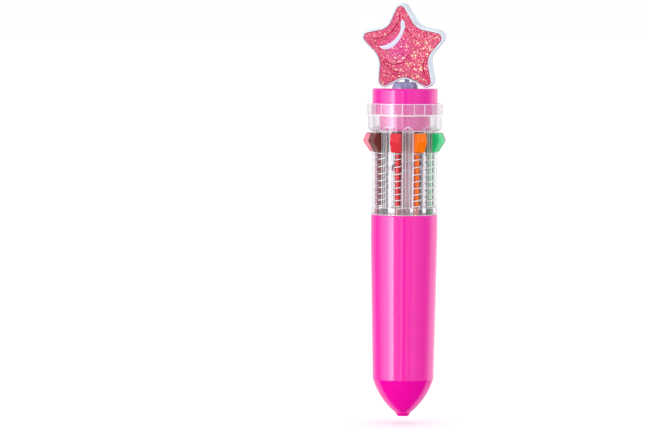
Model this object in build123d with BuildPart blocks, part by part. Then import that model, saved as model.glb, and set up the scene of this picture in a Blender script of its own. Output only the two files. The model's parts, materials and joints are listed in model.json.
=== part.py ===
from build123d import *
import os
from math import asin, cos, radians, sin, sqrt, tan

# A nine-colour shuttle pen with a star topper, in millimetres. The origin is the centre of the tip
# opening, +Z runs up the pen's axis to the topper, and the star faces -Y. Each colour has its own
# slider, spring, ink tube and nib.

COLOURS = ["coral", "orange", "green", "grey", "black", "purple", "blue", "pink", "brown"]
COLOUR_COUNT = len(COLOURS)
PITCH_ANGLE = 360 / COLOUR_COUNT
FIRST_ANGLE = 8.8 - 90  # the coral slot stands 8.8 degrees to the +X side of the front

# Heights along the pen
CAP_TOP = 110.4
COLLAR_TOP = 105.3
LEDGE_HEIGHT = 101.6  # the cap's plug rests here
RIB_TOP = 97.6
SPIGOT_BOTTOM = 96.3
COLLAR_BOTTOM = 96.05
BUTTON_TOP = 95.5
BUTTON_BOTTOM = 89.1
FLOOR_TOP = 70.3  # bottom of the slots, and the springs' seat
BARREL_TOP = 68.0

# Lower barrel
GRIP_RADIUS = 11.25
GRIP_BOTTOM = 60.0  # a true cylinder from here to the barrel's top
SHOULDER = (10.3, 12.6)  # where the taper turns into the nose
NOSE_MIDDLE = (7.9, 7.2)
NOSE_END = (2.6, 1.1)
BORE_RADIUS = 10.2
BORE_BOTTOM = 50.5
RIM_ROUND = 0.3
INNER_SHOULDER = (9.3, 13.0)
INNER_NOSE_MIDDLE = (6.6, 7.0)
TIP_HOLE_RADIUS = 1.75
TIP_LAND = 1.0
TIP_FACE_RADIUS = 1.95

# Clear body
TUBE_RADIUS = 11.05
RIB_THICKNESS = 0.9
SLOT_WIDTH = 3.8
SLOT_CORNER = 0.5
WEB_WIDTH = 1.28
WEB_INNER_RADIUS = 7.3
WEB_TOP = 97.4
WEB_CLEARANCE = 0.1  # between the webs' tops and the cap's spigot
COLLAR_RADIUS = 12.5
COLLAR_ROUND = 1.3
BAND_RADIUS = 12.8
BAND_BOTTOM = 101.4
POCKET_RADIUS = 11.5
POCKET_WIDTH = 4.0
PLUG_BORE_RADIUS = 11.1
LOWER_BORE_RADIUS = 10.9
TONGUE_BOTTOM = 62.5
TONGUE_WIDTH = 2.6
TONGUE_INNER_RADIUS = 8.9
TONGUE_GAP = 0.05
CORE_SOCKET_RADIUS = 2.0

# Cap
CAP_RADIUS = 11.05
SPIGOT_RADIUS = 8.6
SPIGOT_WALL = 1.3
CAP_FLOOR = 2.0
BOSS_RADIUS = 3.9
BOSS_BOTTOM = 100.0
SOCKET_TOP = 106.2
CAP_EDGE = 0.7

# Latch core
CORE_RADIUS = 2.6
CORE_TOP = 104.0
CORE_FOOT_RADIUS = 1.95
CORE_FOOT_LENGTH = 2.0
CATCH_RADIUS = 6.3
CATCH_GAP = 0.1
CATCH_RIM = 0.6
CATCH_CONE = 3.0

# Sliders and springs
SLIDE_TRAVEL = 13.0
STEM_RING_RADIUS = 9.1
STEM_RADIUS = 1.0
STEM_HOLE_RADIUS = 1.08
STEM_CLEARANCE = 0.45  # between the stem and the tube's mouth, so that the tube can lean
BUTTON_WIDTH = 3.6
BUTTON_RIDGE_WIDTH = 3.2
BUTTON_RIDGE = (14.1, 92.8)
BUTTON_TOP_RADIUS = 12.9
BUTTON_BOTTOM_RADIUS = 11.6
BUTTON_ROUND = 1.0
BUTTON_EDGE = 0.22
HEEL_RADIUS = 6.4
WIRE_RADIUS = 0.18
SPRING_RADIUS = 1.5
SPRING_PITCH = 2.2
SPRING_GAP = 0.05  # above and below a spring at rest

# Refills: the ink tube plugs on to a ball at the stem's lower end
PIVOT_HEIGHT = 64.5
BALL_RADIUS = 0.6
NECK_RADIUS = 0.35
TUBE_MOUTH = 0.6
INK_TUBE_RADIUS = 0.9
INK_BORE_RADIUS = 0.65
NIB_LENGTH = 14.0
NIB_BALL_RADIUS = 0.25
NIB_OUTLINE = ((0.27, 0.6), (0.36, 2.6), (0.58, 8.0), (0.74, 13.0))  # radius and height
NIB_SHOULDER = (0.85, 13.2)  # the ink tube butts against this ring
NIB_PLUG_LENGTH = 2.0
NIB_PLUG_RADIUS = 0.64
EXTENDED_POINT_RADIUS = 0.95  # from the axis to a nib's point when it is out
EXTENDED_POINT_DEPTH = 1.6  # how far the point then stands below the tip opening
REST_POINT_RADIUS = 3.3

# A refill is a straight line from its pivot to its point, and leans in more as it slides down
REFILL_DROP = PIVOT_HEIGHT - SLIDE_TRAVEL + EXTENDED_POINT_DEPTH
REFILL_LENGTH = sqrt(REFILL_DROP**2 + (STEM_RING_RADIUS - EXTENDED_POINT_RADIUS) ** 2)
REST_LEAN = asin((STEM_RING_RADIUS - REST_POINT_RADIUS) / REFILL_LENGTH)

# Star topper
STAR_HEIGHT = 123.6
STAR_FORWARD = 0.2
STAR_NOD = radians(9)  # the star leans forwards, towards -Y
STAR_THICKNESS = 4.0
STAR_POINT_RADIUS = 16.6
STAR_VALLEY_RADIUS = 8.8
STAR_POINT_ROUND = 1.7
STAR_VALLEY_ROUND = 6.0
STAR_RIM = 0.65
FACE_THICKNESS = 0.8
FACE_INSET = 0.15
HIGHLIGHT_THICKNESS = 0.3
CRESCENT_TIPS = ((1.1, 9.0), (-9.1, 1.5), (-0.7, 9.3))  # outer top, left point, inner top
CRESCENT_BENDS = ((-2.2, 2.6), (-3.2, 3.7), (0.3, 10.3))  # outer, inner, and round the top
PEG_RADIUS = 2.0
PEG_BOTTOM = 106.4
DOME_RADIUS = 4.4
DOME_TOP_RADIUS = 2.3
DOME_TOP = 112.5
PIN_RADIUS = 0.8
PIN_REACH = (-12.5, -5.5)  # along the star, from its middle
FIT_GAP = 0.05


def save(piece, name):
    """Label a finished piece and write it."""
    piece.label = name
    export_step(piece, f"parts/{name}.step")


def slot_places(radius=0.0, turn=0.0):
    """One place round the axis at each colour, or turned from there."""
    return PolarLocations(radius, COLOUR_COUNT, start_angle=FIRST_ANGLE + turn)


def star_plane(depth):
    """A plane parallel to the star's face, at a depth above the middle of its thickness."""
    normal = Vector(0, -cos(STAR_NOD), -sin(STAR_NOD))
    middle = Vector(0, -STAR_FORWARD, STAR_HEIGHT)
    return Plane(middle + normal * depth, x_dir=(1, 0, 0), z_dir=normal)


def star_outline(growth=0.0):
    """A five-pointed star with round points and wide round valleys, as a flat sketch."""
    corners = []
    for step in range(10):
        angle = radians(90 + 36 * step)
        radius = STAR_VALLEY_RADIUS if step % 2 else STAR_POINT_RADIUS
        corners.append((radius * cos(angle), radius * sin(angle)))
    with BuildSketch() as outline:
        with BuildLine():
            Polyline(*corners, close=True)
        make_face()
        from_centre = outline.vertices().sort_by_distance((0, 0, 0))
        fillet(from_centre[:5], STAR_VALLEY_ROUND)
        from_centre = outline.vertices().sort_by_distance((0, 0, 0))
        fillet(from_centre[-5:], STAR_POINT_ROUND)
        if growth:
            offset(amount=growth)
    return outline.sketch


def make_barrel():
    """Lower barrel: one open shell of revolution, with the tip opening at its foot."""
    with BuildPart() as barrel:
        with BuildSketch(Plane.XZ):
            with BuildLine():
                Polyline(
                    (TIP_HOLE_RADIUS, TIP_LAND),
                    (TIP_HOLE_RADIUS, 0),
                    (TIP_FACE_RADIUS, 0),
                    NOSE_END,
                )
                ThreePointArc(NOSE_END, NOSE_MIDDLE, SHOULDER)
                Polyline(
                    SHOULDER,
                    (GRIP_RADIUS, GRIP_BOTTOM),
                    (GRIP_RADIUS, BARREL_TOP),
                    (BORE_RADIUS, BARREL_TOP),
                    (BORE_RADIUS, BORE_BOTTOM),
                    INNER_SHOULDER,
                )
                ThreePointArc(INNER_SHOULDER, INNER_NOSE_MIDDLE, (TIP_HOLE_RADIUS, TIP_LAND))
            make_face()
        revolve(axis=Axis.Z)
        rim_edges = barrel.edges().filter_by_position(Axis.Z, BARREL_TOP, BARREL_TOP)
        fillet(rim_edges.sort_by(SortBy.RADIUS)[-1], RIM_ROUND)
    return barrel.part


def radial_plane(number):
    """An upright plane through the axis, facing out through a slot, or a rib at a half number."""
    angle = radians(FIRST_ANGLE + number * PITCH_ANGLE)
    return Plane((0, 0, 0), x_dir=(-sin(angle), cos(angle), 0), z_dir=(cos(angle), sin(angle), 0))


def make_clear_body():
    """Clear body: a floor, ribs with slots between them, and the collar that ties their tops."""
    with BuildPart() as body:
        # tube wall
        with BuildSketch(Plane.XY.offset(BARREL_TOP)):
            Circle(TUBE_RADIUS)
            Circle(TUBE_RADIUS - RIB_THICKNESS, mode=Mode.SUBTRACT)
        extrude(amount=RIB_TOP - BARREL_TOP)

        # floor
        with BuildSketch(Plane.XY.offset(BARREL_TOP)):
            Circle(TUBE_RADIUS)
        extrude(amount=FLOOR_TOP - BARREL_TOP)

        # slots through the tube, with rounded lower corners
        inside_radius = TUBE_RADIUS - RIB_THICKNESS
        slot_start = inside_radius * cos(radians(PITCH_ANGLE / 2))
        slot_reach = COLLAR_RADIUS - slot_start
        for number in range(COLOUR_COUNT):
            with BuildSketch(radial_plane(number).offset(slot_start)) as slot:
                with Locations((0, FLOOR_TOP)):
                    Rectangle(SLOT_WIDTH, COLLAR_BOTTOM - FLOOR_TOP, align=(Align.CENTER, Align.MIN))
                fillet(slot.vertices().group_by(Axis.Y)[0], SLOT_CORNER)
            extrude(amount=slot_reach, mode=Mode.SUBTRACT)

        # above the slots each rib ends in a round arch
        arch_radius = RIB_TOP - COLLAR_BOTTOM
        arch_pitch = 2 * TUBE_RADIUS * tan(radians(PITCH_ANGLE / 2))
        for number in range(COLOUR_COUNT):
            with BuildSketch(radial_plane(number + 0.5).offset(slot_start)):
                with Locations((0, COLLAR_BOTTOM)):
                    Rectangle(arch_pitch, arch_radius, align=(Align.CENTER, Align.MIN))
                    Circle(arch_radius, mode=Mode.SUBTRACT)
            extrude(amount=slot_reach, mode=Mode.SUBTRACT)

        # a web behind each rib, with a narrow arch of its own, that keeps the springs apart
        web_depth = TUBE_RADIUS - RIB_THICKNESS / 2 - WEB_INNER_RADIUS
        for number in range(COLOUR_COUNT):
            with BuildSketch(radial_plane(number + 0.5).offset(WEB_INNER_RADIUS)):
                with Locations((0, FLOOR_TOP)):
                    web_height = WEB_TOP - WEB_WIDTH / 2 - FLOOR_TOP
                    Rectangle(WEB_WIDTH, web_height, align=(Align.CENTER, Align.MIN))
                with Locations((0, WEB_TOP - WEB_WIDTH / 2)):
                    Circle(WEB_WIDTH / 2)
            extrude(amount=web_depth)
        with BuildSketch(Plane.XY.offset(COLLAR_BOTTOM)):
            Circle(SPIGOT_RADIUS + WEB_CLEARANCE)
        extrude(amount=RIB_TOP - COLLAR_BOTTOM, mode=Mode.SUBTRACT)

        # collar round the arches, with the ledge for the cap's plug
        round_start = (COLLAR_RADIUS - COLLAR_ROUND, COLLAR_BOTTOM)
        round_end = (COLLAR_RADIUS, COLLAR_BOTTOM + COLLAR_ROUND)
        with BuildSketch(Plane.XZ):
            with BuildLine():
                Line((LOWER_BORE_RADIUS, COLLAR_BOTTOM), round_start)
                TangentArc(round_start, round_end, tangent=(1, 0))
                Polyline(
                    round_end,
                    (COLLAR_RADIUS, COLLAR_TOP),
                    (PLUG_BORE_RADIUS, COLLAR_TOP),
                    (PLUG_BORE_RADIUS, LEDGE_HEIGHT),
                    (LOWER_BORE_RADIUS, LEDGE_HEIGHT),
                    (LOWER_BORE_RADIUS, COLLAR_BOTTOM),
                )
            make_face()
        revolve(axis=Axis.Z)

        # thicker band round the top of the collar, with shallow pockets inside it over the ribs
        with BuildSketch(Plane.XY.offset(BAND_BOTTOM)):
            Circle(BAND_RADIUS)
            Circle(PLUG_BORE_RADIUS, mode=Mode.SUBTRACT)
        extrude(amount=COLLAR_TOP - BAND_BOTTOM)
        with BuildSketch(Plane.XY.offset(BAND_BOTTOM)):
            with slot_places(PLUG_BORE_RADIUS, turn=PITCH_ANGLE / 2):
                Rectangle(2, POCKET_WIDTH)
            Circle(POCKET_RADIUS, mode=Mode.INTERSECT)
        extrude(amount=COLLAR_TOP - BAND_BOTTOM, mode=Mode.SUBTRACT)

        # tongues that plug into the barrel, between the refills
        with BuildSketch(Plane.XY.offset(TONGUE_BOTTOM)):
            with slot_places(turn=PITCH_ANGLE / 2):
                with Locations((TONGUE_INNER_RADIUS, 0)):
                    tongue_depth = TUBE_RADIUS - TONGUE_INNER_RADIUS
                    Rectangle(tongue_depth, TONGUE_WIDTH, align=(Align.MIN, Align.CENTER))
            Circle(BORE_RADIUS - TONGUE_GAP, mode=Mode.INTERSECT)
        extrude(amount=BARREL_TOP - TONGUE_BOTTOM)

        # stem holes, and the socket of the latch core
        with BuildSketch(Plane.XY.offset(BARREL_TOP)):
            with slot_places(STEM_RING_RADIUS):
                Circle(STEM_HOLE_RADIUS)
            Circle(CORE_SOCKET_RADIUS)
        extrude(amount=FLOOR_TOP - BARREL_TOP, mode=Mode.SUBTRACT)
    return body.part


def make_cap():
    """Cap: a thick disc, the plug that fills the collar, and a hollow spigot that stops the sliders."""
    with BuildPart() as cap:
        with BuildSketch(Plane.XZ):
            with BuildLine():
                Polyline(
                    (PEG_RADIUS + FIT_GAP, CAP_TOP),
                    (CAP_RADIUS, CAP_TOP),
                    (CAP_RADIUS, LEDGE_HEIGHT),
                    (SPIGOT_RADIUS, LEDGE_HEIGHT),
                    (SPIGOT_RADIUS, SPIGOT_BOTTOM),
                    (SPIGOT_RADIUS - SPIGOT_WALL, SPIGOT_BOTTOM),
                    (SPIGOT_RADIUS - SPIGOT_WALL, CAP_TOP - CAP_FLOOR),
                    (BOSS_RADIUS, CAP_TOP - CAP_FLOOR),
                    (BOSS_RADIUS, BOSS_BOTTOM),
                    (CORE_RADIUS + FIT_GAP, BOSS_BOTTOM),
                    (CORE_RADIUS + FIT_GAP, SOCKET_TOP),
                    (PEG_RADIUS + FIT_GAP, SOCKET_TOP),
                    close=True,
                )
            make_face()
        revolve(axis=Axis.Z)
        top_edges = cap.edges().filter_by_position(Axis.Z, CAP_TOP, CAP_TOP)
        fillet(top_edges.sort_by(SortBy.RADIUS)[-1], CAP_EDGE)
    return cap.part


def make_latch_core():
    """Latch core: a post from the floor to the cap, with the round catch that holds a pushed slider."""
    catch_bottom = BUTTON_TOP - SLIDE_TRAVEL + CATCH_GAP
    with BuildPart() as core:
        with BuildSketch(Plane.XZ):
            with BuildLine():
                Polyline(
                    (0, FLOOR_TOP - CORE_FOOT_LENGTH),
                    (CORE_FOOT_RADIUS, FLOOR_TOP - CORE_FOOT_LENGTH),
                    (CORE_FOOT_RADIUS, FLOOR_TOP),
                    (CORE_RADIUS, FLOOR_TOP),
                    (CORE_RADIUS, catch_bottom),
                    (CATCH_RADIUS, catch_bottom),
                    (CATCH_RADIUS, catch_bottom + CATCH_RIM),
                    (CORE_RADIUS, catch_bottom + CATCH_CONE),
                    (CORE_RADIUS, CORE_TOP),
                    (0, CORE_TOP),
                    close=True,
                )
            make_face()
        revolve(axis=Axis.Z)
    return core.part


def make_slider():
    """Slider, on the +X side: a wedge button, the heel behind it, and the stem with its ball end."""
    stem_bottom = PIVOT_HEIGHT + TUBE_MOUTH + STEM_CLEARANCE
    with BuildPart() as slider:
        with BuildSketch(Plane.XZ):
            with BuildLine():
                Polyline(
                    (HEEL_RADIUS, BUTTON_BOTTOM),
                    (BUTTON_BOTTOM_RADIUS, BUTTON_BOTTOM),
                    BUTTON_RIDGE,
                    (BUTTON_TOP_RADIUS, BUTTON_TOP),
                    (HEEL_RADIUS, BUTTON_TOP),
                    close=True,
                )
            make_face()
        extrude(amount=BUTTON_WIDTH / 2, both=True)
        with BuildSketch(Plane.XY.offset(BUTTON_BOTTOM)):
            with BuildLine():
                Polyline(
                    (HEEL_RADIUS, -BUTTON_WIDTH / 2),
                    (TUBE_RADIUS, -BUTTON_WIDTH / 2),
                    (BUTTON_RIDGE[0], -BUTTON_RIDGE_WIDTH / 2),
                    (BUTTON_RIDGE[0], BUTTON_RIDGE_WIDTH / 2),
                    (TUBE_RADIUS, BUTTON_WIDTH / 2),
                    (HEEL_RADIUS, BUTTON_WIDTH / 2),
                    close=True,
                )
            make_face()
        extrude(amount=BUTTON_TOP - BUTTON_BOTTOM, mode=Mode.INTERSECT)
        ridge = slider.edges().filter_by(Axis.Y).sort_by(Axis.X)[-1]
        fillet(ridge, BUTTON_ROUND)
        head_edges = slider.edges().filter_by(lambda edge: edge.center().X > TUBE_RADIUS)
        outline_edges = head_edges - head_edges.filter_by(lambda edge: edge.is_interior)
        fillet(outline_edges, BUTTON_EDGE)
        with BuildSketch(Plane.XY.offset(stem_bottom)):
            with Locations((STEM_RING_RADIUS, 0)):
                Circle(STEM_RADIUS)
        extrude(amount=BUTTON_BOTTOM - stem_bottom)
        with BuildSketch(Plane.XY.offset(PIVOT_HEIGHT)):
            with Locations((STEM_RING_RADIUS, 0)):
                Circle(NECK_RADIUS)
        extrude(amount=stem_bottom - PIVOT_HEIGHT)
        with Locations((STEM_RING_RADIUS, 0, PIVOT_HEIGHT)):
            Sphere(BALL_RADIUS)
    return slider.part


def make_spring():
    """Return spring round a stem, from the floor to the underside of the button."""
    bottom = FLOOR_TOP + WIRE_RADIUS + SPRING_GAP
    top = BUTTON_BOTTOM - WIRE_RADIUS - SPRING_GAP
    coil_radius = SPRING_RADIUS - WIRE_RADIUS
    with BuildPart() as spring:
        with BuildLine() as coil:
            Helix(SPRING_PITCH, top - bottom, coil_radius, center=(STEM_RING_RADIUS, 0, bottom))
        with BuildSketch(Plane(coil.line @ 0, z_dir=coil.line % 0)):
            Circle(WIRE_RADIUS)
        sweep(path=coil.line, is_frenet=True)
    return spring.part


def refill_plane(distance=0.0):
    """A plane across a refill, at a distance up it from its point, on the +X side."""
    up = Vector(sin(REST_LEAN), 0, cos(REST_LEAN))
    pivot = Vector(STEM_RING_RADIUS, 0, PIVOT_HEIGHT)
    return Plane(pivot + up * (distance - REFILL_LENGTH), x_dir=(0, 1, 0), z_dir=up)


def make_ink_tube():
    """Ink tube: open at the top, where the stem's ball holds it, with the nib plugged in below."""
    with BuildPart() as tube:
        with BuildSketch(refill_plane(NIB_LENGTH)):
            Circle(INK_TUBE_RADIUS)
            Circle(INK_BORE_RADIUS, mode=Mode.SUBTRACT)
        extrude(amount=REFILL_LENGTH + TUBE_MOUTH - NIB_LENGTH)
    return tube.part


def make_nib():
    """Nib: a slender cone with a round point, and the plug that holds it in its ink tube."""
    foot = refill_plane()
    along = Plane(foot.origin, x_dir=foot.z_dir.cross(Vector(0, -1, 0)), z_dir=(0, -1, 0))
    with BuildPart() as nib:
        with BuildSketch(along):
            with BuildLine():
                TangentArc((0, 0), (NIB_BALL_RADIUS, NIB_BALL_RADIUS), tangent=(1, 0))
                Polyline(
                    (NIB_BALL_RADIUS, NIB_BALL_RADIUS),
                    *NIB_OUTLINE,
                    NIB_SHOULDER,
                    (NIB_SHOULDER[0], NIB_LENGTH),
                    (NIB_PLUG_RADIUS, NIB_LENGTH),
                    (NIB_PLUG_RADIUS, NIB_LENGTH + NIB_PLUG_LENGTH),
                    (0, NIB_LENGTH + NIB_PLUG_LENGTH),
                    (0, 0),
                )
            make_face()
        revolve(axis=Axis(foot.origin, foot.z_dir))
    return nib.part


def pin_plane():
    """A plane across the star's pin, at the pin's lower end."""
    star = star_plane(0)
    return Plane(star.origin + star.y_dir * PIN_REACH[0], x_dir=(1, 0, 0), z_dir=star.y_dir)


def make_star_backing():
    """Star backing: a thick soft star with a raised rim round the pocket of its face."""
    with BuildPart() as backing:
        with BuildSketch(star_plane(-STAR_THICKNESS / 2)):
            add(star_outline(STAR_RIM))
        extrude(amount=STAR_THICKNESS)
        with BuildSketch(star_plane(STAR_THICKNESS / 2 - FACE_INSET - FACE_THICKNESS)):
            add(star_outline())
        extrude(amount=FACE_THICKNESS + FACE_INSET, mode=Mode.SUBTRACT)
        with BuildSketch(pin_plane()):
            Circle(PIN_RADIUS + FIT_GAP)
        extrude(amount=PIN_REACH[1] - PIN_REACH[0] + FIT_GAP, mode=Mode.SUBTRACT)
    return backing.part


def crescent():
    """The outline of the crescent on the star's face, as a flat sketch."""
    outer_top, point, inner_top = CRESCENT_TIPS
    outer_bend, inner_bend, top_bend = CRESCENT_BENDS
    with BuildSketch() as outline:
        with BuildLine():
            ThreePointArc(outer_top, outer_bend, point)
            ThreePointArc(point, inner_bend, inner_top)
            ThreePointArc(inner_top, top_bend, outer_top)
        make_face()
    return outline.sketch


def make_star_face():
    """Star face: the coloured fill of the pocket, cut away where the crescent lies."""
    front = STAR_THICKNESS / 2 - FACE_INSET
    with BuildPart() as face:
        with BuildSketch(star_plane(front - FACE_THICKNESS)):
            add(star_outline())
        extrude(amount=FACE_THICKNESS)
        with BuildSketch(star_plane(front - HIGHLIGHT_THICKNESS)):
            add(crescent())
        extrude(amount=HIGHLIGHT_THICKNESS, mode=Mode.SUBTRACT)
    return face.part


def make_star_crescent():
    """Crescent: the pale inlay that reads as a highlight on the star."""
    front = STAR_THICKNESS / 2 - FACE_INSET
    with BuildPart() as inlay:
        with BuildSketch(star_plane(front - HIGHLIGHT_THICKNESS)):
            add(crescent())
        extrude(amount=HIGHLIGHT_THICKNESS)
    return inlay.part


def make_topper_peg():
    """Topper peg: a plug in the cap, a low dome on it, and the pin that carries the star."""
    with BuildPart() as peg:
        with BuildSketch(Plane.XZ):
            with BuildLine():
                Polyline(
                    (0, PEG_BOTTOM),
                    (PEG_RADIUS, PEG_BOTTOM),
                    (PEG_RADIUS, CAP_TOP),
                    (DOME_RADIUS, CAP_TOP),
                )
                TangentArc((DOME_RADIUS, CAP_TOP), (DOME_TOP_RADIUS, DOME_TOP), tangent=(0, 1))
                Polyline((DOME_TOP_RADIUS, DOME_TOP), (0, DOME_TOP), (0, PEG_BOTTOM))
            make_face()
        revolve(axis=Axis.Z)
        with BuildSketch(pin_plane()):
            Circle(PIN_RADIUS)
        extrude(amount=PIN_REACH[1] - PIN_REACH[0])
    return peg.part


os.makedirs("parts", exist_ok=True)

save(make_barrel(), "barrel")
save(make_clear_body(), "clear_body")
save(make_cap(), "cap")
save(make_latch_core(), "latch_core")
save(make_topper_peg(), "topper_peg")
save(make_star_backing(), "star_backing")
save(make_star_face(), "star_face")
save(make_star_crescent(), "star_crescent")

slider = make_slider()
spring = make_spring()
ink_tube = make_ink_tube()
nib = make_nib()
for number, colour in enumerate(COLOURS):
    turn = FIRST_ANGLE + number * PITCH_ANGLE
    save(slider.rotate(Axis.Z, turn), f"slider_{colour}")
    save(spring.rotate(Axis.Z, turn), f"spring_{colour}")
    save(ink_tube.rotate(Axis.Z, turn), f"ink_tube_{colour}")
    save(nib.rotate(Axis.Z, turn), f"nib_{colour}")
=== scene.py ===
import json
import math

import bpy
import numpy as np
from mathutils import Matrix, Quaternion, Vector

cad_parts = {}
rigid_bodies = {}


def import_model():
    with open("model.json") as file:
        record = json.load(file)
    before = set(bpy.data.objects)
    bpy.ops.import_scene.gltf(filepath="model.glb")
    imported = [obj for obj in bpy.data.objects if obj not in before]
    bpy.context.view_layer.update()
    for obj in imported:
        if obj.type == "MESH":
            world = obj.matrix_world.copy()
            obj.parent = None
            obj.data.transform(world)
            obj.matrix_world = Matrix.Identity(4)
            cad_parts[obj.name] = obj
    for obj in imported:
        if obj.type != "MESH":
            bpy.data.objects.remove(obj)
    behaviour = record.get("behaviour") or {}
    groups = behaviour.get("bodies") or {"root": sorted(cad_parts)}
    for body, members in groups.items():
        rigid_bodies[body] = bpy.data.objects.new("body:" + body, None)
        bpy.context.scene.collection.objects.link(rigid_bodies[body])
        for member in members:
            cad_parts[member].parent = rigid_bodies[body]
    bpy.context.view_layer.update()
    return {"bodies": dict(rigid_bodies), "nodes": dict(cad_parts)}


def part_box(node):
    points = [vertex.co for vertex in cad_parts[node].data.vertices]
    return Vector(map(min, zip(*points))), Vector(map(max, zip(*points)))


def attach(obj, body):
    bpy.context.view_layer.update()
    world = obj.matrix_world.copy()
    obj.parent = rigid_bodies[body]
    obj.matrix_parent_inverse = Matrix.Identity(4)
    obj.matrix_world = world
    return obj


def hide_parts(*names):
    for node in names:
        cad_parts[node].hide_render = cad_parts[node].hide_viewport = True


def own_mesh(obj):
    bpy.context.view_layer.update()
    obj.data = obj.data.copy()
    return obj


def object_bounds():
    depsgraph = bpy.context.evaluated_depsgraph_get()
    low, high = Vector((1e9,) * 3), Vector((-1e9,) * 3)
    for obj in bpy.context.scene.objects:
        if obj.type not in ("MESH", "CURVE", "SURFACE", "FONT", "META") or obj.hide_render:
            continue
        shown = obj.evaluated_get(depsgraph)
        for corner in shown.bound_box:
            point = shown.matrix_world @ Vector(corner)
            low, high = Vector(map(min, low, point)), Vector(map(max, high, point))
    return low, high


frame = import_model()

# The looks of a nine-colour slide pen with a star topper. The casings, sliders, latch core, peg and
# refills keep their CAD shapes and get finishes. The springs and the three layers of the star are
# built here. Lengths are in metres, and MM turns millimetres into them.

MM = 0.001
COLOURS = [body[: -len("_slider")] for body in frame["bodies"] if body.endswith("_slider")]

# Camera: long lens, a little above the pen and round to its right
VIEW_AZIMUTH = math.radians(23)
VIEW_DISTANCE = 1.4
VIEW_RISE = 73 * MM
PICTURE_WIDTH = 216.7 * MM  # what the frame's width covers at the pen
SENSOR_WIDTH = 36.0
PEN_ASIDE = 27.5 * MM  # the pen stands this far right of the middle of the picture
AIM_BELOW = 0.45 * MM  # how far below the barrel's top the camera aims
CAMERA_ROLL = math.radians(0.34)  # the pen leans this much to the right in the picture

# Mesh pieces
SHARP_ANGLE = math.radians(50)  # edges that bend more than this stay sharp

# Springs
WIRE_RADIUS = 0.18 * MM
COIL_RADIUS = 1.32 * MM
WIRE_SIDES = 10
COIL_STEPS = 28  # per turn
OPEN_TURNS = 7.8
END_TURNS = 0.9
PITCH_SPREAD = 0.16  # turns are this much wider at the top than in the middle
FRONT_FLATTENING = 0.075  # the wire lies flatter on the outward side and steeper behind

# Clear body
COLLAR_HEIGHT = 9.3 * MM  # from the collar's foot to the top of the clear body
COLLAR_BLEND = 0.3 * MM  # over which the collar's greyer look begins

# Star, in its own plane: x to the right, y up, origin in the middle
STAR_NOD = math.radians(9)
STAR_THICKNESS = 4.0 * MM
STAR_POINT_RADIUS = 16.6 * MM
STAR_VALLEY_RADIUS = 8.8 * MM
STAR_POINT_ROUND = 1.7 * MM
STAR_VALLEY_ROUND = 6.0 * MM
STAR_RIM = 0.65 * MM
CORNER_STEPS = 24  # along each rounded point and valley
ROUND_STEPS = 6  # along the lip and along the back edge
BACK_ROLL = 0.9 * MM  # rounding of the back edge
LIP_RISE = 0.02 * MM  # of the lip's crest above the star's front
POCKET_DEPTH = 0.8 * MM  # from the face's front to the pocket's floor
POCKET_WALL_GAP = 0.1 * MM  # from the face's front down to the top of the pocket's wall
FACE_INSET = 0.15 * MM  # the face's front lies this far behind the star's front
FLAKE_RADIUS = 0.46  # of a glitter flake, as a share of its cell
FACE_DEPTH = 0.75 * MM
FACE_EDGE = 0.3 * MM  # rounding of the face's edge
FACE_EDGE_STEPS = 4
FACE_GAP = 0.03 * MM  # between the face and the lip
FACE_RINGS = 84  # from the face's edge to its middle
BORDER_RINGS = 8  # over which the relief begins
SWELL = 0.03 * MM  # height of the face's gentle swelling
CREASE_DEPTH = 0.34 * MM
CREASE_WIDTH = 0.17 * MM
CREASE_STEPS = 24  # between two given points of a crease
CREASE_FADE = 1 / 8  # share of a crease's length over which each end fades
BANK_HEIGHT = 0.05 * MM  # raised edge on both sides of a crease
BANK_AWAY = 0.45 * MM
BANK_WIDTH = 0.35 * MM
CRESCENT_SINK = 0.12 * MM  # the crescent's edge lies this far below the face
CRESCENT_SWELL = 0.26 * MM  # from its edge to its crest
CRESCENT_FOOT = 0.28 * MM  # how deep it is set into the face
CRESCENT_STRIPS = 12
CURVE_STEPS = 10  # between two given points of its outline
TAPER_STEPS = 6  # over which its ends thin out

# Stage
FLOOR_REACH = 12.0  # from the pen to each side
FLOOR_DROP = 2.5 * MM  # the floor lies this far below the point
BRIGHTEST = 10.0  # of the studio's panels
CEILING = 1.05  # brightness of the room above the panels
DARK_BEHIND = 0.03  # brightness of the room below and behind the pen


# ---------------------------------------------------------------- node graphs


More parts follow.
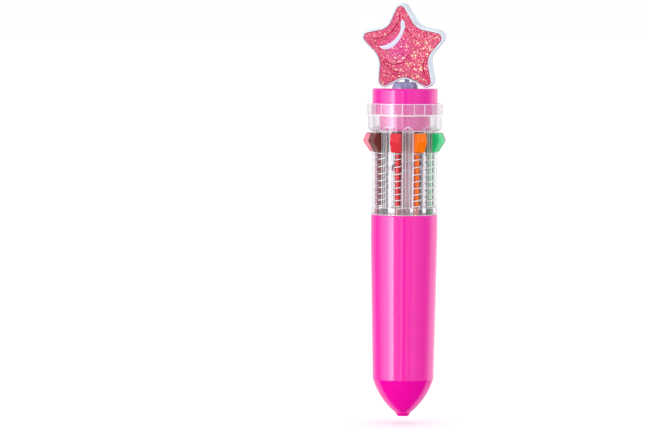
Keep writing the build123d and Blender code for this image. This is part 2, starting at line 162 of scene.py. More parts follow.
class Graph:
    """The nodes of a material or world, with short calls for the ones that the finishes are made of."""

    def __init__(self, owner, place="Object"):
        owner.use_nodes = True
        self.owner = owner
        self.tree = owner.node_tree
        self.tree.nodes.clear()
        self.where = self.add("ShaderNodeTexCoord").outputs[place]

    def add(self, kind, inputs=None, **settings):
        """One node, with its settings, and its inputs linked or given a value."""
        made = self.tree.nodes.new(kind)
        for key, value in settings.items():
            setattr(made, key, value)
        for key, value in (inputs or {}).items():
            self.feed(made.inputs[key], value)
        return made

    def feed(self, socket, value):
        if isinstance(value, bpy.types.NodeSocket):
            self.tree.links.new(value, socket)
        else:
            socket.default_value = value

    def math(self, operation, a, b):
        return self.add("ShaderNodeMath", {0: a, 1: b}, operation=operation).outputs[0]

    def blend(self, share, a, b):
        """The number a where share is 0 and the number b where it is 1."""
        kept = self.math("MULTIPLY", a, self.math("SUBTRACT", 1.0, share))
        return self.math("ADD", kept, self.math("MULTIPLY", share, b))

    def vector(self, operation, *vectors, output="Vector"):
        made = self.add("ShaderNodeVectorMath", dict(enumerate(vectors)), operation=operation)
        return made.outputs[output]

    def noise(self, size, detail=2.0, stretch=(1, 1, 1)):
        """Smooth noise from 0 to 1, whose blobs are about size across before any stretch."""
        scale = tuple(1 / (size * s) for s in stretch)
        place = self.add("ShaderNodeMapping", {"Vector": self.where, "Scale": scale}).outputs[0]
        made = self.add("ShaderNodeTexNoise", {"Vector": place, "Scale": 1.0, "Detail": detail})
        return made.outputs["Fac"]

    def ramp(self, factor, low, high, start=0.0, end=1.0):
        """A number that goes smoothly from start to end as factor goes from low to high."""
        inputs = {"Value": factor, "From Min": low, "From Max": high, "To Min": start, "To Max": end}
        return self.add("ShaderNodeMapRange", inputs, interpolation_type="SMOOTHSTEP").outputs["Result"]

    def mix(self, factor, a, b):
        """Colour a where factor is 0 and colour b where it is 1."""
        made = self.add("ShaderNodeMix", data_type="RGBA")
        self.feed(made.inputs["Factor"], factor)
        self.feed(made.inputs["A"], a)
        self.feed(made.inputs["B"], b)
        return made.outputs["Result"]

    def edges(self, radius, low=0.02, high=0.25):
        """1 at edges and 0 on open surfaces."""
        rounded = self.add("ShaderNodeBevel", {"Radius": radius}, samples=4).outputs[0]
        plain = self.add("ShaderNodeNewGeometry").outputs["Normal"]
        along = self.vector("DOT_PRODUCT", rounded, plain, output="Value")
        return self.ramp(self.math("SUBTRACT", 1.0, along), low, high)

    def bump(self, height, depth, normal=None):
        """A normal from a height between 0 and 1 that stands for depth metres."""
        inputs = {"Height": height, "Distance": depth, "Strength": 1.0}
        if normal is not None:
            inputs["Normal"] = normal
        return self.add("ShaderNodeBump", inputs).outputs[0]

    def surface(self, **inputs):
        """The principled surface that ends the graph."""
        named = {key.replace("_", " "): value for key, value in inputs.items()}
        return self.add("ShaderNodeBsdfPrincipled", named).outputs[0]

    def finish(self, shader, output="ShaderNodeOutputMaterial"):
        self.tree.links.new(shader, self.add(output).inputs["Surface"])
        return self.owner


def new_finish(name):
    """The graph of a new material."""
    return Graph(bpy.data.materials.new(name))


def colour(red, green, blue):
    """A linear colour from the usual 0 to 255 display values."""

    def linear(value):
        share = value / 255
        return share / 12.92 if share <= 0.04045 else ((share + 0.055) / 1.055) ** 2.4

    return (linear(red), linear(green), linear(blue), 1.0)


WORN_EDGE = (1.0, 0.9, 0.95, 1.0)
CLEAR_MILK = colour(232, 226, 236)
CLEAR_THICK = colour(156, 142, 172)
CLEAR_COLLAR = colour(196, 192, 198)
# painted highlight: the pale colour that the clear plastic's edges get
CLEAR_EDGE_HIGHLIGHT = colour(250, 244, 252)
ROSY_MILK = colour(200, 108, 130)
EMPTY_TUBE = (0.80, 0.81, 0.82, 1.0)


# ---------------------------------------------------------------- finishes


def moulded_plastic(name, tint, deep, roughness=0.1, shade=0.0, wear=0.16, gloss=0.5):
    """Glossy moulded plastic: cloudy tint, faint flow marks, fine handling scratches, paler edges."""
    g = new_finish(name)
    cloud = g.noise(5 * MM, detail=3.0)
    base = g.mix(g.ramp(cloud, 0.35, 0.65, 0.0, 0.35), tint, deep)
    edge = g.edges(0.25 * MM)
    base = g.mix(g.math("MULTIPLY", edge, wear), base, WORN_EDGE)
    if shade:  # less light gets back out of the slots and gaps between neighbours
        open_air = g.add("ShaderNodeAmbientOcclusion", {"Distance": 3.5 * MM}, samples=8).outputs["AO"]
        dark = tuple(value * value * 0.5 for value in tint[:3]) + (1.0,)
        base = g.mix(g.ramp(open_air, 0.35, 0.8, shade, 0.0), base, dark)
    scratch = g.noise(0.12 * MM, detail=1.0, stretch=(1, 1, 26))
    scratched = g.ramp(scratch, 0.62, 0.72)
    grain = g.noise(0.35 * MM, detail=2.0)
    rough = g.math("ADD", g.math("MULTIPLY", scratched, 0.06), roughness)
    rough = g.math("ADD", g.math("MULTIPLY", edge, 0.12), rough)
    flow = g.noise(2.2 * MM, detail=1.0, stretch=(1, 1, 4))
    normal = g.bump(flow, 0.012 * MM)
    normal = g.bump(grain, 0.0012 * MM, normal)
    shader = g.surface(
        Base_Color=base,
        Roughness=rough,
        IOR=1.5,
        Specular_IOR_Level=gloss,
        Normal=normal,
    )
    return g.finish(shader)


def clear_plastic(name, tint, milk, haze, edge_highlight, collar_foot=None):
    """Thin clear plastic: seen straight through, with a little haze, a painted highlight along its edges
    and a glossy skin.
    """
    g = new_finish(name)
    smear = g.noise(2.5 * MM, detail=3.0)
    wave = g.noise(1.6 * MM, detail=1.0, stretch=(1, 1, 3))
    normal = g.bump(wave, 0.006 * MM)
    edge = g.edges(0.42 * MM, 0.005, 0.06)
    facing = g.add("ShaderNodeLayerWeight", {"Blend": 0.5}).outputs["Facing"]
    thick = g.ramp(facing, 0.5, 0.9)  # where the view runs along the wall
    share = g.ramp(smear, 0.3, 0.7, 0.8 * haze, 1.2 * haze)
    # painted highlight: the clear plastic turns more solid along its edges, as if they caught the light
    share = g.math("ADD", share, g.math("MULTIPLY", edge, edge_highlight))
    share = g.math("ADD", share, g.math("MULTIPLY", thick, 0.5))
    base = g.mix(thick, milk, CLEAR_THICK)
    if collar_foot is not None:  # the collar's wall is thick, so it is greyer
        height = g.add("ShaderNodeSeparateXYZ", {0: g.where}).outputs["Z"]
        in_collar = g.ramp(height, collar_foot, collar_foot + COLLAR_BLEND)
        in_collar = g.math("MULTIPLY", in_collar, g.ramp(facing, 0.22, 0.42))
        share = g.math("ADD", share, g.math("MULTIPLY", in_collar, 0.08))
        base = g.mix(in_collar, base, CLEAR_COLLAR)
    # painted highlight: the edges are paler, as if they caught the light
    base = g.mix(edge, base, CLEAR_EDGE_HIGHLIGHT)
    share = g.math("MINIMUM", share, 0.9)
    body = g.surface(Base_Color=base, Roughness=0.3, IOR=1.5, Normal=normal)
    through = g.add("ShaderNodeBsdfTransparent", {"Color": tint}).outputs[0]
    hazy = g.add("ShaderNodeMixShader", {0: share, 1: through, 2: body}).outputs[0]
    polish = {"Color": (1.0, 1.0, 1.0, 1.0), "Roughness": 0.06, "Normal": normal}
    skin = g.add("ShaderNodeBsdfAnisotropic", polish).outputs[0]
    grazing = g.math("MULTIPLY", g.math("POWER", facing, 5.0), 0.3)
    mirror = g.math("ADD", grazing, 0.035)
    return g.finish(g.add("ShaderNodeMixShader", {0: mirror, 1: hazy, 2: skin}).outputs[0])


def bright_wire():
    """Drawn spring wire: bright metal with streaks, duller in places."""
    g = new_finish("bright_wire")
    streak = g.noise(0.06 * MM, detail=2.0, stretch=(5, 5, 1))
    dull = g.noise(1.4 * MM, detail=2.0)
    base = g.mix(g.ramp(dull, 0.4, 0.7), (0.93, 0.92, 0.95, 1.0), (0.80, 0.79, 0.82, 1.0))
    rough = g.math("ADD", g.math("MULTIPLY", streak, 0.14), 0.3)
    normal = g.bump(streak, 0.004 * MM)
    shader = g.surface(Base_Color=base, Metallic=0.45, Roughness=rough, Normal=normal)
    return g.finish(shader)


def nib_metal():
    """Turned nib: pale plated brass with lathe rings, and a steel ball at the point."""
    g = new_finish("nib_metal")
    rings = g.noise(0.05 * MM, detail=1.0, stretch=(40, 40, 1))
    base = g.mix(g.noise(0.8 * MM), (0.80, 0.70, 0.48, 1.0), (0.66, 0.56, 0.38, 1.0))
    rough = g.math("ADD", g.math("MULTIPLY", rings, 0.15), 0.16)
    shader = g.surface(Base_Color=base, Metallic=1.0, Roughness=rough, Normal=g.bump(rings, 0.006 * MM))
    return g.finish(shader)


def filled_tube(name, ink, top, bottom):
    """Ink tube: milky tube over a column of ink that ends a little below the tube's mouth."""
    g = new_finish(name)
    height = g.add("ShaderNodeSeparateXYZ", {0: g.where}).outputs["Z"]
    wobble = g.math("MULTIPLY", g.noise(0.8 * MM), 0.6 * MM)
    level = g.math("ADD", height, wobble)
    reach = top - bottom
    empty = g.ramp(level, bottom + 0.86 * reach, bottom + 0.88 * reach)
    base = g.mix(empty, ink, EMPTY_TUBE)
    rough = g.ramp(g.noise(0.5 * MM), 0.3, 0.7, 0.22, 0.34)
    normal = g.bump(g.noise(0.3 * MM), 0.004 * MM)
    shader = g.surface(Base_Color=base, Roughness=rough, IOR=1.49, Normal=normal, Coat_Weight=0.4)
    return g.finish(shader)


def star_place(g, centre):
    """Places in the star's own plane, in metres."""
    turn = (math.pi / 2 + STAR_NOD, 0.0, 0.0)
    inputs = {"Vector": g.where, "Location": tuple(centre), "Rotation": turn}
    return g.add("ShaderNodeMapping", inputs, vector_type="TEXTURE").outputs[0]


def glitter(centre):
    """Soft coral-pink plastic full of flakes: small pink ones, and larger gold ones to the lower right."""
    g = new_finish("star_glitter")
    place = star_place(g, centre)
    across = g.add("ShaderNodeSeparateXYZ", {0: place})
    slant = g.math("SUBTRACT", across.outputs["X"], g.math("MULTIPLY", across.outputs["Y"], 0.8))
    richness = g.ramp(slant, -9 * MM, 10 * MM)
    from_heart = g.vector("DISTANCE", place, (-2.0 * MM, 0.5 * MM, 0.0), output="Value")
    heart = g.ramp(from_heart, 2.5 * MM, 7.0 * MM, 1.0, 0.0)

    def flakes(size, share, spread):
        """Cells of about size: a mask that picks some of them, and each cell's own random colour."""
        cells = g.add("ShaderNodeTexVoronoi", {"Vector": g.where, "Scale": 1 / size}, feature="F1")
        chance = g.add("ShaderNodeSeparateColor", {0: cells.outputs["Color"]})
        limit = g.math("ADD", g.math("MULTIPLY", richness, spread), share)
        picked = g.math("LESS_THAN", chance.outputs["Red"], limit)
        inside = g.math("LESS_THAN", cells.outputs["Distance"], FLAKE_RADIUS)
        return g.math("MULTIPLY", picked, inside), chance, cells.outputs["Color"]

    small, small_chance, small_colour = flakes(0.34 * MM, 0.10, 0.10)
    large, large_chance, large_colour = flakes(0.62 * MM, 0.03, 0.17)
    coral = colour(211, 50, 104)
    pink = colour(214, 44, 136)
    dark = colour(172, 18, 74)
    base = g.mix(heart, coral, pink)
    base = g.mix(g.ramp(small_chance.outputs["Green"], 0.1, 0.9, 0.0, 0.45), base, dark)
    pale = g.mix(small_chance.outputs["Blue"], colour(250, 176, 190), colour(246, 214, 184))
    gold = g.mix(large_chance.outputs["Blue"], colour(236, 208, 140), colour(246, 206, 176))
    base = g.mix(small, base, pale)
    base = g.mix(large, base, gold)
    shine = g.math("MAXIMUM", small, large)
    tilt = g.mix(large, small_colour, large_colour)
    lean = g.vector("SUBTRACT", tilt, (0.5, 0.5, 0.5))
    lean = g.vector("MULTIPLY", lean, (0.9, 0.9, 0.9))
    grain = g.bump(g.noise(0.25 * MM), 0.03 * MM)
    normal = g.vector("NORMALIZE", g.vector("ADD", grain, lean))
    shader = g.surface(
        Base_Color=base,
        Metallic=g.math("MULTIPLY", shine, 0.55),
        Roughness=g.ramp(shine, 0.0, 1.0, 0.42, 0.2),
        Normal=normal,
        Coat_Weight=0.35,
        Coat_Roughness=0.12,
        Coat_Normal=grain,
    )
    return g.finish(shader)


def soft_white(name, tint, shade):
    """Soft moulded white plastic: satin, milky, a little uneven."""
    g = new_finish(name)
    cloud = g.noise(3.5 * MM, detail=3.0)
    base = g.mix(g.ramp(cloud, 0.35, 0.7), tint, shade)
    grain = g.noise(0.22 * MM, detail=2.0)
    rough = g.ramp(grain, 0.3, 0.7, 0.36, 0.5)
    normal = g.bump(cloud, 0.02 * MM)
    normal = g.bump(grain, 0.003 * MM, normal)
    shader = g.surface(
        Base_Color=base,
        Roughness=rough,
        Normal=normal,
        Subsurface_Weight=0.25,
        Subsurface_Radius=(1.0, 1.0, 1.0),
        Subsurface_Scale=0.8 * MM,
    )
    return g.finish(shader)


def milky_peg():
    """Peg: translucent lavender-blue plastic with mould swirls."""
    g = new_finish("milky_peg")
    swirl = g.noise(1.3 * MM, detail=3.0, stretch=(1, 1, 3))
    base = g.mix(g.ramp(swirl, 0.3, 0.7), colour(184, 198, 232), colour(150, 140, 196))
    normal = g.bump(swirl, 0.05 * MM)
    shader = g.surface(
        Base_Color=base,
        Roughness=g.ramp(swirl, 0.3, 0.7, 0.1, 0.22),
        IOR=1.48,
        Transmission_Weight=0.35,
        Normal=normal,
    )
    return g.finish(shader)


def dress(node, material):
    """Give a CAD node its finish."""
    shown = frame["nodes"][node]
    for place in shown.material_slots:
        place.link = "OBJECT"
        place.material = material


# ---------------------------------------------------------------- mesh pieces


def new_piece(name, points, faces, material, node):
    """A mesh piece in the shared frame that rides on the pen's body and stands for a CAD node."""
    mesh = bpy.data.meshes.new(name)
    mesh.from_pydata([tuple(p) for p in points], [], faces)
    mesh.validate()
    mesh.materials.append(material)
    mesh.polygons.foreach_set("use_smooth", [True] * len(mesh.polygons))
    mesh.set_sharp_from_angle(angle=SHARP_ANGLE)
    mesh.update()
    piece = bpy.data.objects.new(name, mesh)
    bpy.context.scene.collection.objects.link(piece)
    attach(piece, "pen_body")
    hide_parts(node)
    return piece


def ring_faces(rings, count):
    """Quads between rings of count points each, stored one after another."""
    faces = []
    for i in range(rings - 1):
        low = i * count
        high = low + count
        for j in range(count):
            k = (j + 1) % count
            faces.append((low + j, low + k, high + k, high + j))
    return faces


def coil_centreline(bottom, top):
    """Angle and height along a spring: closed turns at both ends, and open turns that widen upwards."""
    turns = OPEN_TURNS + 2 * END_TURNS
    steps = int(turns * COIL_STEPS)
    closed_rise = 2 * WIRE_RADIUS * END_TURNS
    open_rise = top - bottom - 2 * closed_rise
    line = []
    for i in range(steps + 1):
        turn = turns * i / steps
        if turn < END_TURNS:
            height = closed_rise * turn / END_TURNS
        elif turn > turns - END_TURNS:
            height = top - bottom - closed_rise * (turns - turn) / END_TURNS
        else:
            share = (turn - END_TURNS) / OPEN_TURNS
            height = closed_rise + open_rise * (share - PITCH_SPREAD * share * (1 - share))
        line.append((2 * math.pi * turn, bottom + height))
    return line


def make_coil(name):
    """The return spring of one colour, as a wire swept along its coil, with flat cut ends."""
    node = f"spring_{name}"
    low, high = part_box(node)
    middle = (low + high) / 2
    line = coil_centreline(low.z + WIRE_RADIUS, high.z - WIRE_RADIUS)
    facing = math.atan2(middle.y, middle.x)
    centres = []
    for i, (angle, height) in enumerate(line):
        angle_before, height_before = line[max(i - 1, 0)]
        angle_after, height_after = line[min(i + 1, len(line) - 1)]
        pitch = 2 * math.pi * (height_after - height_before) / (angle_after - angle_before)
        x = middle.x + COIL_RADIUS * math.cos(angle + facing)
        y = middle.y + COIL_RADIUS * math.sin(angle + facing)
        centres.append(Vector((x, y, height - FRONT_FLATTENING * pitch * math.sin(angle))))
    points = []
    for i, centre in enumerate(centres):
        ahead = centres[min(i + 1, len(centres) - 1)] - centres[max(i - 1, 0)]
        away = Vector((centre.x - middle.x, centre.y - middle.y, 0.0)).normalized()
        up = ahead.normalized().cross(away)
        for j in range(WIRE_SIDES):
            turn = 2 * math.pi * j / WIRE_SIDES
            points.append(centre + (away * math.cos(turn) + up * math.sin(turn)) * WIRE_RADIUS)
    faces = ring_faces(len(centres), WIRE_SIDES)
    faces.append(tuple(range(WIRE_SIDES - 1, -1, -1)))
    last = (len(centres) - 1) * WIRE_SIDES
    faces.append(tuple(range(last, last + WIRE_SIDES)))
    coil = new_piece(f"coil_{name}", points, faces, wire, node)
    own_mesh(coil)


def rounded_outline(corners, radii, spacing):
    """A closed outline through corners, each rounded to its radius, as evenly spaced points."""
    path = []
    count = len(corners)
    for i in range(count):
        corner = Vector(corners[i])
        back = (Vector(corners[i - 1]) - corner).normalized()
        ahead = (Vector(corners[(i + 1) % count]) - corner).normalized()
        half = back.angle(ahead) / 2
        reach = radii[i] / math.tan(half)
        middle = corner + (back + ahead).normalized() * (radii[i] / math.sin(half))
        start = corner + back * reach - middle
        sweep = (ahead * reach - back * reach) + start
        turn = start.angle_signed(sweep)
        for step in range(CORNER_STEPS + 1):
            angle = -turn * step / CORNER_STEPS
            cosine, sine = math.cos(angle), math.sin(angle)
            turned = Vector((start.x * cosine - start.y * sine, start.x * sine + start.y * cosine))
            path.append(middle + turned)
    lengths = [0.0]
    for i in range(len(path)):
        lengths.append(lengths[-1] + (path[(i + 1) % len(path)] - path[i]).length)
    number = int(lengths[-1] / spacing)
    even = []
    at = 0
    for n in range(number):
        wanted = lengths[-1] * n / number
        while lengths[at + 1] < wanted:
            at += 1
        share = (wanted - lengths[at]) / max(lengths[at + 1] - lengths[at], 1e-12)
        even.append(path[at].lerp(path[(at + 1) % len(path)], share))
    return np.array([(p.x, p.y) for p in even])


def star_outline(spacing):
    """The star's outline, five rounded points and five wide valleys, counter-clockwise."""
    corners, radii = [], []
    for step in range(10):
        angle = math.radians(90 + 36 * step)
        valley = step % 2 == 1
        radius = STAR_VALLEY_RADIUS if valley else STAR_POINT_RADIUS
        corners.append((radius * math.cos(angle), radius * math.sin(angle)))
        radii.append(STAR_VALLEY_ROUND if valley else STAR_POINT_ROUND)
    return rounded_outline(corners, radii, spacing)


def outward_normals(outline):
    """The outward unit normal at each point of a counter-clockwise outline."""
    along = np.roll(outline, -1, axis=0) - np.roll(outline, 1, axis=0)
    along /= np.linalg.norm(along, axis=1)[:, None]
    return np.stack((along[:, 1], -along[:, 0]), axis=1)


def star_centre():
    """The middle of the star's thickness at its centre, from the CAD star's box."""
    low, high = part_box("star_backing")
    outline = star_outline(0.3 * MM)
    top = outline[:, 1].max() + STAR_RIM
    foot = outline[:, 1].min() - STAR_RIM
    middle = (top + foot) / 2
    sine, cosine = math.sin(STAR_NOD), math.cos(STAR_NOD)
    return Vector((0.0, (low.y + high.y) / 2 + middle * sine, (low.z + high.z) / 2 - middle * cosine))


def on_star(flat, depth):
    """Points of the star's plane, at a depth in front of its middle, in the shared frame."""
    sine, cosine = math.sin(STAR_NOD), math.cos(STAR_NOD)
    right = np.array((1.0, 0.0, 0.0))
    up = np.array((0.0, -sine, cosine))
    front = np.array((0.0, -cosine, -sine))
    depth = np.broadcast_to(depth, (len(flat),))
    return np.array(centre) + flat[:, :1] * right + flat[:, 1:2] * up + depth[:, None] * front


def make_star_backing():
    """White backing: a thick star with rolled edges and a lip round the pocket that holds the face."""
    outline = star_outline(0.35 * MM)
    normal = outward_normals(outline)
    front = STAR_THICKNESS / 2
    back = -front
    pocket = front - FACE_INSET - POCKET_DEPTH
    section = [(0.0, pocket), (0.0, front - FACE_INSET - POCKET_WALL_GAP)]
    lip = STAR_RIM / 2
    for step in range(ROUND_STEPS + 1):  # the lip's round crest
        angle = math.pi - math.pi * step / ROUND_STEPS
        depth = front - lip * (1 - math.sin(angle)) + LIP_RISE
        section.append((lip + lip * math.cos(angle), depth))
    for step in range(ROUND_STEPS + 1):  # the back edge's roll
        angle = math.pi / 2 * step / ROUND_STEPS
        growth = STAR_RIM - BACK_ROLL * (1 - math.cos(angle))
        section.append((growth, back + BACK_ROLL * (1 - math.sin(angle))))
    halfway = outline * 0.5  # a ring that keeps the two flat sides' faces short
    points = [on_star(halfway, pocket)]
    for growth, depth in section:
        points.append(on_star(outline + normal * growth, depth))
    points.append(on_star(halfway, back))
    count = len(outline)
    rings = len(points)
    faces = ring_faces(rings, count)
    faces.append(tuple(range(count - 1, -1, -1)))
    faces.append(tuple(range((rings - 1) * count, rings * count)))
    points = np.concatenate(points)
    new_piece("star_white_body", points, faces, white, "star_backing")


def near(flat, path):
    """Distance from each point to a smooth path through a few points, and how far along it lies."""
    dense = smooth_path(path, CREASE_STEPS)
    best = np.full(len(flat), 1.0)
    share = np.zeros(len(flat))
    for i in range(len(dense) - 1):
        start, step = dense[i], dense[i + 1] - dense[i]
        t = np.clip(((flat - start) @ step) / (step @ step), 0, 1)
        gap = np.linalg.norm(flat - start - t[:, None] * step, axis=1)
        closer = gap < best
        best[closer] = gap[closer]
        share[closer] = ((i + t) / (len(dense) - 1))[closer]
    return best, share


def smooth_path(path, steps):
    """A Catmull-Rom curve through the points of a path."""
    p = np.array([path[0]] + list(path) + [path[-1]], float) * MM
    curve = []
    for i in range(1, len(p) - 2):
        for s in range(steps):
            t = s / steps
            a = 2 * p[i]
            b = p[i + 1] - p[i - 1]
            c = 2 * p[i - 1] - 5 * p[i] + 4 * p[i + 1] - p[i + 2]
            d = 3 * p[i] - p[i - 1] - 3 * p[i + 1] + p[i + 2]
            curve.append((a + b * t + c * t * t + d * t**3) / 2)
    curve.append(p[-2])
    return np.array(curve)


CREASES = [  # millimetres in the star's plane
    ((-12.5, 3.9), (-9.6, 3.7), (-6.8, 4.3), (-3.6, 6.2), (-1.2, 9.3), (-0.4, 12.0)),
    ((-12.6, 3.1), (-11, 1), (-8, -3.3), (-6, -6), (-3.6, -7.3), (-0.2, -7.9)),
    ((-7, -3.1), (-5.6, -4.6), (-3.9, -5), (-0.5, -4.4), (2.7, -0.9)),
    ((0.6, 11.6), (1.4, 7.2), (5.9, 2.7)),
    ((8, -1.9), (7, -5.2), (7.4, -9.05)),
]


def make_star_face():
    """Glitter face: a filled star with a rounded edge, swelling panels and the creases between them."""
    outline = star_outline(0.16 * MM)
    normal = outward_normals(outline)
    count = len(outline)
    front = STAR_THICKNESS / 2 - FACE_INSET
    rings = []
    depths = []
    for depth in (front - FACE_DEPTH, front - FACE_EDGE):
        rings.append(outline - normal * FACE_GAP)
        depths.append(np.full(count, depth))
    for step in range(1, FACE_EDGE_STEPS + 1):
        angle = math.pi / 2 * step / FACE_EDGE_STEPS
        rings.append(outline - normal * (FACE_GAP + FACE_EDGE * (1 - math.cos(angle))))
        depths.append(np.full(count, front - FACE_EDGE * (1 - math.sin(angle))))
    start = len(rings) * count
    inner = rings[-1]
    for step in range(1, FACE_RINGS):
        rings.append(inner * (1 - step / FACE_RINGS))
        depths.append(np.full(count, front))
    flat = np.concatenate(rings)
    depth = np.concatenate(depths)
    top = flat[start:]
    relief = SWELL * np.sin(top[:, 0] / (2.1 * MM) + 0.6) * np.sin(top[:, 1] / (2.6 * MM))
    border = np.clip(np.repeat(np.arange(1, FACE_RINGS), count) / BORDER_RINGS, 0, 1)
    for path in CREASES:
        away, share = near(top, path)
        fade = np.clip(np.minimum(share, 1 - share) / CREASE_FADE, 0, 1)
        relief = relief - CREASE_DEPTH * np.exp(-((away / CREASE_WIDTH) ** 2)) * fade
        relief = relief + BANK_HEIGHT * np.exp(-(((away - BANK_AWAY) / BANK_WIDTH) ** 2)) * fade
    depth[start:] += relief * border
    points = on_star(flat, depth)
    faces = ring_faces(len(rings), count)
    last = (len(rings) - 1) * count
    hub = len(points)
    points = np.concatenate((points, on_star(np.zeros((1, 2)), float(depth[last:].mean()))))
    faces += [(last + j, last + (j + 1) % count, hub) for j in range(count)]
    faces.append(tuple(range(count - 1, -1, -1)))
    new_piece("star_glitter_face", points, faces, sparkle, "star_face")


CRESCENT_OUTER = (  # millimetres, from the top along the lower right edge
    (0.55, 10.2), (1.3, 9.3), (1.1, 7.0), (0.15, 4.85), (-1.25, 2.95),
    (-3.1, 1.1), (-5.1, 0.15), (-7.1, 0.05), (-8.7, 0.75),
)
CRESCENT_INNER = (  # millimetres, from the top along the upper left edge
    (0.3, 10.2), (-0.4, 9.5), (-0.5, 7.5), (-1.0, 5.85), (-2.15, 4.25),
    (-3.65, 2.95), (-5.6, 1.9), (-7.4, 1.35), (-8.7, 1.15),
)


def make_crescent():
    """Crescent: a smooth inlay that swells a little out of the glitter."""
    outer = smooth_path(CRESCENT_OUTER, CURVE_STEPS)
    inner = smooth_path(CRESCENT_INNER, CURVE_STEPS)
    front = STAR_THICKNESS / 2 - FACE_INSET
    rows = len(outer)
    place = np.arange(rows)
    taper = np.sqrt(np.clip(np.minimum(place, place[::-1]) / TAPER_STEPS, 0, 1))
    flat, depth = [], []
    for side in range(CRESCENT_STRIPS + 1):
        share = side / CRESCENT_STRIPS
        flat.append(outer * (1 - share) + inner * share)
        dome = math.sqrt(max(0.0, 1 - (2 * share - 1) ** 2))
        depth.append(front - CRESCENT_SINK + CRESCENT_SWELL * dome * taper)
    flat = np.concatenate(flat)
    top_points = on_star(flat, np.concatenate(depth))
    base = on_star(flat, front - CRESCENT_FOOT)
    total = (CRESCENT_STRIPS + 1) * rows
    faces = []
    for side in range(CRESCENT_STRIPS):
        for i in range(rows - 1):
            a = side * rows + i
            faces.append((a, a + 1, a + 1 + rows, a + rows))
            faces.append((total + a + rows, total + a + 1 + rows, total + a + 1, total + a))
    for i in range(rows - 1):
        far = CRESCENT_STRIPS * rows + i
        faces.append((total + i, total + i + 1, i + 1, i))
        faces.append((far, far + 1, total + far + 1, total + far))
    for side in range(CRESCENT_STRIPS):
        a = side * rows
        b = a + rows - 1
        faces.append((a, a + rows, total + a + rows, total + a))
        faces.append((b + rows, b, total + b, total + b + rows))
    points = np.concatenate((top_points, base))
    new_piece("star_highlight", points, faces, pearl, "star_crescent")


# ---------------------------------------------------------------- stage


def make_floor():
    """A plain pale floor just under the pen's point, without an edge in sight."""
    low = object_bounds()[0].z - FLOOR_DROP
    mesh = bpy.data.meshes.new("floor")
    corners = [(x * FLOOR_REACH, y * FLOOR_REACH, low) for x, y in ((-1, -1), (1, -1), (1, 1), (-1, 1))]
    mesh.from_pydata(corners, [], [(0, 1, 2, 3)])
    g = new_finish("pale_floor")
    cloud = g.noise(40 * MM, detail=2.0)
    base = g.mix(cloud, (0.92, 0.92, 0.925, 1.0), (0.90, 0.90, 0.905, 1.0))
    lit = g.surface(Base_Color=base, Roughness=0.9, Emission_Color=(1, 1, 1, 1), Emission_Strength=0.12)
    mesh.materials.append(g.finish(lit))
    floor = bpy.data.objects.new("floor", mesh)
    floor.visible_glossy = False
    bpy.context.scene.collection.objects.link(floor)


PANELS = [  # angle from the camera in degrees, to its right, and how bright the studio is there
    (-180, 1.0), (-128, 1.05), (-112, 0.5), (-98, 0.9), (-80, 2.6), (-60, 4.2), (-46, 8.5), (-39, 9.5),
    (-35, 2.0), (-20, 1.3), (-12, 1.4), (-9, 2.8), (-5, 1.2), (0, 0.5), (5, 0.7), (12, 1.5),
    (20, 0.9), (34, 1.5), (50, 1.1), (82, 0.65), (100, 1.2), (113, 2.2), (135, 1.7), (180, 1.0),
]


def across_view():
    """The level directions towards the camera and to its right."""
    sine, cosine = math.sin(VIEW_AZIMUTH), math.cos(VIEW_AZIMUTH)
    return Vector((sine, -cosine, 0.0)), Vector((cosine, sine, 0.0))


def make_studio():
    """Soft studio light: a white room, and panels that stand round the pen and show as upright stripes."""
    world = bpy.data.worlds.new("studio")
    bpy.context.scene.world = world
    g = Graph(world, "Generated")
    toward, aside = across_view()
    near_part = g.vector("DOT_PRODUCT", g.where, toward, output="Value")
    side_part = g.vector("DOT_PRODUCT", g.where, aside, output="Value")
    angle = g.math("ARCTAN2", side_part, near_part)
    turn = g.math("ADD", g.math("DIVIDE", angle, 2 * math.pi), 0.5)
    panels = g.add("ShaderNodeValToRGB", {0: turn})
    stops = panels.color_ramp.elements
    while len(stops) > 1:
        stops.remove(stops[-1])
    for i, (degrees, level) in enumerate(PANELS):
        place = degrees / 360 + 0.5
        stop = stops[0] if i == 0 else stops.new(place)
        stop.position = place
        stop.color = (level / BRIGHTEST,) * 3 + (1.0,)
    bright = g.math("MULTIPLY", panels.outputs["Color"], BRIGHTEST)
    height = g.add("ShaderNodeSeparateXYZ", {0: g.where}).outputs["Z"]
    above = g.ramp(height, 0.24, 0.36)
    below = g.ramp(height, -0.34, -0.22, 1.0, 0.0)
    behind = g.ramp(near_part, -0.45, -0.2, 1.0, DARK_BEHIND)
    seen = g.add("ShaderNodeLightPath").outputs["Is Camera Ray"]
    level = g.blend(above, bright, CEILING)
    level = g.blend(below, level, behind)
    level = g.blend(seen, level, 1.0)
    light = g.add("ShaderNodeBackground", {"Color": (1.0, 1.0, 1.0, 1.0), "Strength": level}).outputs[0]
    g.finish(light, "ShaderNodeOutputWorld")


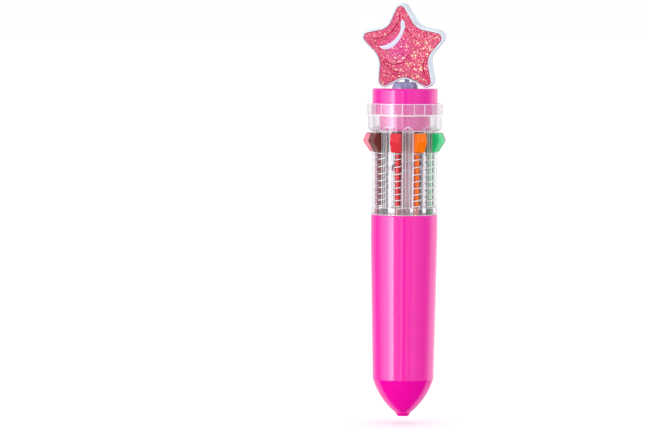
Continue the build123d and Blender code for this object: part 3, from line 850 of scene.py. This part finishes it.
def make_camera():
    """Long lens at the viewing angle, with the pen right of the middle."""
    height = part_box("barrel")[1].z
    toward, aside = across_view()
    data = bpy.data.cameras.new("camera")
    data.sensor_width = SENSOR_WIDTH
    data.lens = SENSOR_WIDTH * VIEW_DISTANCE / PICTURE_WIDTH
    data.clip_start = 0.05
    data.clip_end = 50.0
    camera = bpy.data.objects.new("camera", data)
    bpy.context.scene.collection.objects.link(camera)
    target = Vector((0.0, 0.0, height - AIM_BELOW)) - aside * PEN_ASIDE
    camera.location = toward * VIEW_DISTANCE + Vector((0.0, 0.0, height + VIEW_RISE))
    camera.rotation_mode = "QUATERNION"
    aim = (target - camera.location).to_track_quat("-Z", "Y")
    camera.rotation_quaternion = aim @ Quaternion((0.0, 0.0, 1.0), CAMERA_ROLL)
    bpy.context.scene.camera = camera


# ---------------------------------------------------------------- build

INKS = {
    "coral": (208, 46, 58),
    "orange": (240, 110, 0),
    "green": (0, 198, 118),
    "grey": (178, 182, 186),
    "black": (52, 24, 28),
    "purple": (128, 44, 92),
    "blue": (40, 92, 180),
    "pink": (240, 140, 160),
    "brown": (104, 50, 48),
}
DEEPER = 0.8  # the cloudy parts of a button are this much darker

pink_shell = moulded_plastic("pink_shell", colour(224, 6, 155), colour(216, 3, 147), roughness=0.05)
dress("barrel", pink_shell)
dress("cap", pink_shell)
collar_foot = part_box("clear_body")[1].z - COLLAR_HEIGHT
clear_shell = clear_plastic(
    "clear_shell", (0.975, 0.975, 0.98, 1.0), CLEAR_MILK, haze=0.07, edge_highlight=0.95, collar_foot=collar_foot
)
dress("clear_body", clear_shell)
dress("latch_core", clear_plastic("rosy_core", (0.90, 0.70, 0.76, 1.0), ROSY_MILK, haze=0.52, edge_highlight=0.2))
dress("topper_peg", milky_peg())
nib_finish = nib_metal()
wire = bright_wire()
for name in COLOURS:
    tint = colour(*INKS[name])
    deep = tuple(DEEPER * value for value in tint[:3]) + (1.0,)
    finish = moulded_plastic(f"button_{name}", tint, deep, roughness=0.12, shade=0.85, wear=0.06, gloss=0.3)
    dress(f"slider_{name}", finish)
    low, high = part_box(f"ink_tube_{name}")
    dress(f"ink_tube_{name}", filled_tube(f"ink_{name}", tint, high.z, low.z))
    dress(f"nib_{name}", nib_finish)
    make_coil(name)

centre = star_centre()
white = soft_white("star_white", colour(206, 214, 224), colour(196, 205, 217))
pearl = soft_white("crescent_pearl", colour(212, 202, 226), colour(192, 206, 228))
sparkle = glitter(centre)
make_star_backing()
make_star_face()
make_crescent()

make_floor()
make_studio()
make_camera()
scene = bpy.context.scene
scene.view_settings.view_transform = "Standard"
scene.cycles.max_bounces = 24
scene.cycles.transmission_bounces = 24
scene.cycles.transparent_max_bounces = 24
